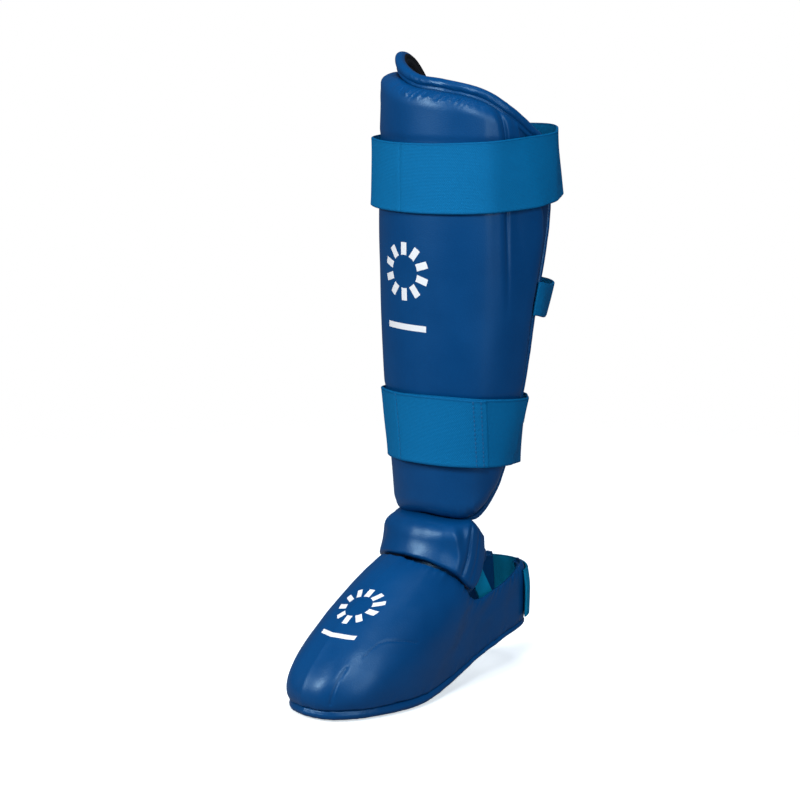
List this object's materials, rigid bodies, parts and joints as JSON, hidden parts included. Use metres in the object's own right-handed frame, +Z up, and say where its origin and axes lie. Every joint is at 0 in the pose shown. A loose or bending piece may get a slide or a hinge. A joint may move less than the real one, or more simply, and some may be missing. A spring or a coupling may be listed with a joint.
{
  "type": "shin and instep guard",
  "caption": "Padded shin guard with a rolled collar and wide elastic straps, above a domed foot guard with a swollen instep pad and an open heel band.",
  "frame": {"origin": "on the plane that the foot stands on, under the middle of the ankle", "axes": "+Z up the leg, toes along -Y, +X to the outer side of the leg"},
  "size_m": [0.1515, 0.2802, 0.512],
  "materials": {
    "shin_backing": "royal blue coated cloth over foam, soft sheen",
    "shin_lining": "black knitted lining",
    "shin_pad": "royal blue coated cloth over foam, soft sheen",
    "collar_roll": "royal blue coated cloth, rolled and stuffed",
    "side_roll": "royal blue coated cloth, bound edge",
    "upper_strap": "woven elastic, bright blue",
    "lower_strap": "woven elastic, bright blue",
    "calf_strap": "woven elastic, bright blue",
    "joining_tab": "black webbing",
    "foot_shell": "royal blue coated cloth over foam, soft sheen",
    "sole_roll": "royal blue coated cloth, rolled edge",
    "tongue": "royal blue coated cloth over foam",
    "instep_pad": "royal blue coated cloth over foam, soft sheen",
    "ankle_elastic_inner": "woven elastic, teal blue",
    "ankle_elastic_outer": "woven elastic, teal blue",
    "heel_elastic": "woven elastic, teal blue",
    "sole_strap_front": "woven elastic, off-white",
    "sole_strap_rear": "woven elastic, off-white"
  },
  "bodies": {
    "root": {"shin_backing": "shin_backing", "shin_lining": "shin_lining", "shin_pad": "shin_pad", "collar_roll": "collar_roll", "side_roll": "side_roll", "upper_strap": "upper_strap", "lower_strap": "lower_strap", "calf_strap": "calf_strap", "joining_tab": "joining_tab", "foot_shell": "foot_shell", "sole_roll": "sole_roll", "tongue": "tongue", "instep_pad": "instep_pad", "ankle_elastic_inner": "ankle_elastic_inner", "ankle_elastic_outer": "ankle_elastic_outer", "heel_elastic": "heel_elastic", "sole_strap_front": "sole_strap_front", "sole_strap_rear": "sole_strap_rear"}
  },
  "joints": []
}
